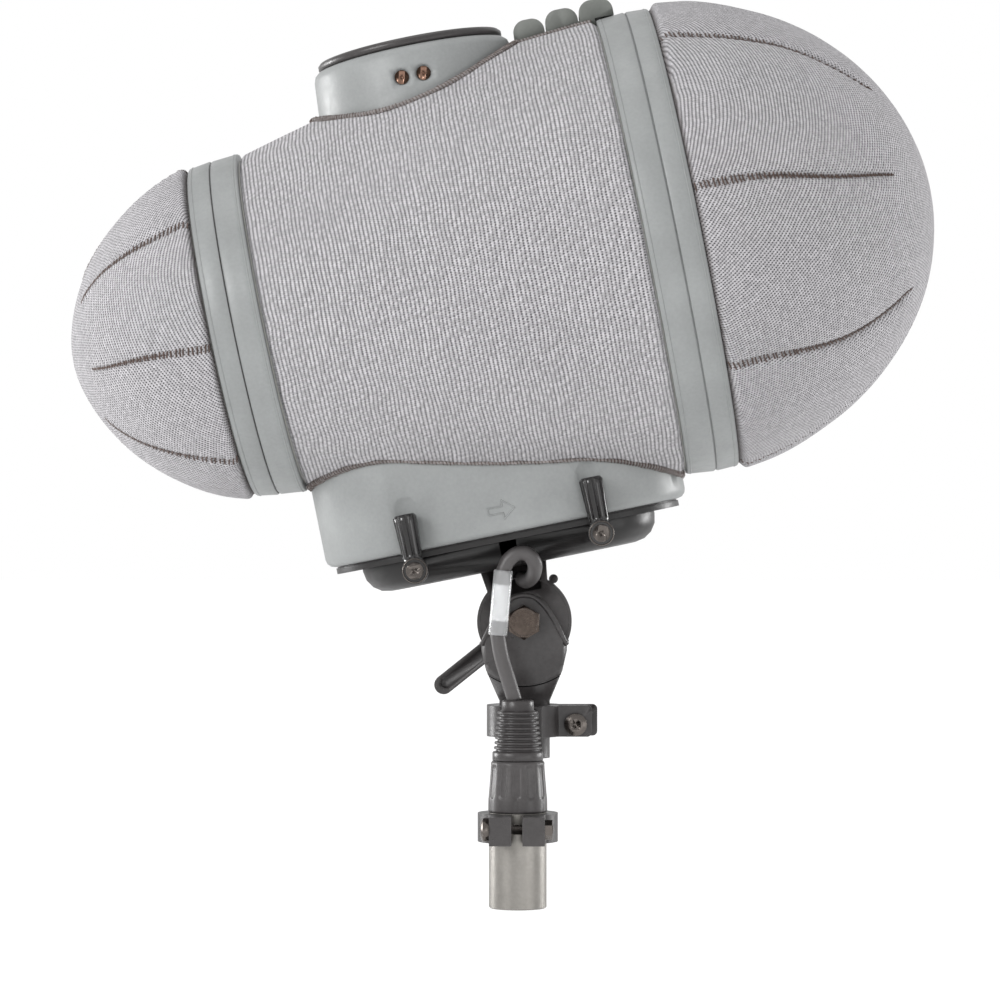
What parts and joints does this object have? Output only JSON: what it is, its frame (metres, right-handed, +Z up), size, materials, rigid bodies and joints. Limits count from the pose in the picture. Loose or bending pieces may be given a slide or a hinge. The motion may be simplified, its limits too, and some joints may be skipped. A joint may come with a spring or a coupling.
{
  "type": "microphone windshield",
  "caption": "Knit-covered stereo microphone windshield with twist-off end caps, latched to a tilting base tray with a swivel adaptor and a clamped output connector.",
  "frame": {"origin": "mouth of the boom thread, on the stem's axis", "axes": "+X towards the front (the large cap), +Y to the windshield's left, +Z up the stem; the head is tilted 11.4 degrees nose-up at rest, as in the picture"},
  "size_m": [0.2876, 0.1552, 0.2993],
  "materials": {
    "knit": "tight ribbed knit",
    "shell": "satin moulded plastic, faintly mottled",
    "lug": "soft matt rubber",
    "black": "satin glass-filled plastic",
    "gloss_black": "polished",
    "rubber": "matt rubber",
    "cable": "satin jacket",
    "steel": "dull plated steel",
    "nickel": "dark nickel plate",
    "copper": "coppered steel",
    "frame": "moulded natural plastic",
    "label": "blank printed label stock",
    "sleeve": "clear shrink sleeve"
  },
  "bodies": {
    "swivel_stem": {"swivel_yoke": "black", "thread_insert": "copper", "pivot_bolt": "steel", "pivot_washer": "steel", "stem_clamp": "black", "connector_clamp": "black", "clamp_rivets": "steel", "clamp_screws": "nickel", "clamp_nuts": "nickel", "connector_boot": "rubber", "connector_back_shell": "black", "connector_shell": "steel", "connector_insert": "black", "connector_pins": "copper", "output_cable": "cable", "cable_sleeve": "sleeve", "cable_label": "label"},
    "lock_lever": {"lock_lever": "black", "lever_nut": "steel"},
    "base": {"swivel_knuckle": "black", "knuckle_screws": "steel", "base_tray": "black", "base_plate": "black", "base_gasket": "rubber", "latch_screws": "nickel", "latch_washers": "steel", "suspension_rail": "black", "rail_screws": "steel", "lyre_front": "black", "lyre_rear": "black", "connection_box": "black", "box_lid": "black", "box_sockets": "steel"},
    "latch_front_right": {"latch_front_right": "gloss_black"},
    "latch_rear_right": {"latch_rear_right": "gloss_black"},
    "latch_front_left": {"latch_front_left": "gloss_black"},
    "latch_rear_left": {"latch_rear_left": "gloss_black"},
    "mic_cradle": {"mic_bar": "black", "mid_clip_front": "black", "mid_clip_rear": "black", "side_clip_front": "black", "side_clip_rear": "black"},
    "basket": {"bottom_housing": "shell", "top_port_housing": "shell", "port_screws": "copper", "grip_lugs": "lug", "body_frame": "frame", "body_fabric": "knit", "front_body_ring": "shell", "rear_body_ring": "shell"},
    "port_lid": {"port_lid": "rubber"},
    "front_seal": {"front_seal": "rubber"},
    "front_cap": {"front_cap_ring": "shell", "front_cap_frame": "frame", "front_cap_fabric": "knit"},
    "rear_seal": {"rear_seal": "rubber"},
    "rear_cap": {"rear_cap_ring": "shell", "rear_cap_frame": "frame", "rear_cap_fabric": "knit"}
  },
  "joints": [
    {"name": "lever_swing", "type": "hinge", "parent": "swivel_stem", "child": "lock_lever", "pos_m": [0, 0.016, 0.0454], "axis": [0, -1, 0], "range_deg": [0, 80]},
    {"name": "head_tilt", "type": "hinge", "parent": "swivel_stem", "child": "base", "pos_m": [0, 0, 0.0454], "axis": [0, -1, 0], "range_deg": [-70, 48], "deforming": ["output_cable"]},
    {"name": "latch_front_right_turn", "type": "hinge", "parent": "base", "child": "latch_front_right", "pos_m": [0.02535, -0.0385, 0.075], "axis": [0, 1, 0], "range_deg": [0, 90]},
    {"name": "latch_rear_right_turn", "type": "hinge", "parent": "base", "child": "latch_rear_right", "pos_m": [-0.03484, -0.0385, 0.06286], "axis": [0, -1, 0], "range_deg": [0, 90]},
    {"name": "latch_front_left_turn", "type": "hinge", "parent": "base", "child": "latch_front_left", "pos_m": [0.02535, 0.0385, 0.075], "axis": [0, 1, 0], "range_deg": [0, 90]},
    {"name": "latch_rear_left_turn", "type": "hinge", "parent": "base", "child": "latch_rear_left", "pos_m": [-0.03484, 0.0385, 0.06286], "axis": [0, -1, 0], "range_deg": [0, 90]},
    {"name": "cradle_float", "type": "slide", "parent": "base", "child": "mic_cradle", "axis": [-0.1977, 0, 0.9803], "range_m": [-0.003, 0.003], "stiffness_N_per_m": 600, "deforming": ["lyre_front", "lyre_rear"]},
    {"name": "basket_lift", "type": "slide", "parent": "base", "child": "basket", "axis": [-0.1977, 0, 0.9803], "range_m": [0, 0.11]},
    {"name": "port_lid_pull", "type": "slide", "parent": "basket", "child": "port_lid", "axis": [-0.1977, 0, 0.9803], "range_m": [0, 0.05]},
    {"name": "front_cap_twist", "type": "hinge", "parent": "basket", "child": "front_seal", "pos_m": [0.04805, 0, 0.17138], "axis": [0.9803, 0, 0.1977], "range_deg": [0, 25]},
    {"name": "front_cap_pull", "type": "slide", "parent": "front_seal", "child": "front_cap", "axis": [0.9803, 0, 0.1977], "range_m": [0, 0.1]},
    {"name": "rear_cap_twist", "type": "hinge", "parent": "basket", "child": "rear_seal", "pos_m": [-0.09262, 0, 0.14302], "axis": [-0.9803, 0, -0.1977], "range_deg": [0, 25]},
    {"name": "rear_cap_pull", "type": "slide", "parent": "rear_seal", "child": "rear_cap", "axis": [-0.9803, 0, -0.1977], "range_m": [0, 0.08]}
  ]
}
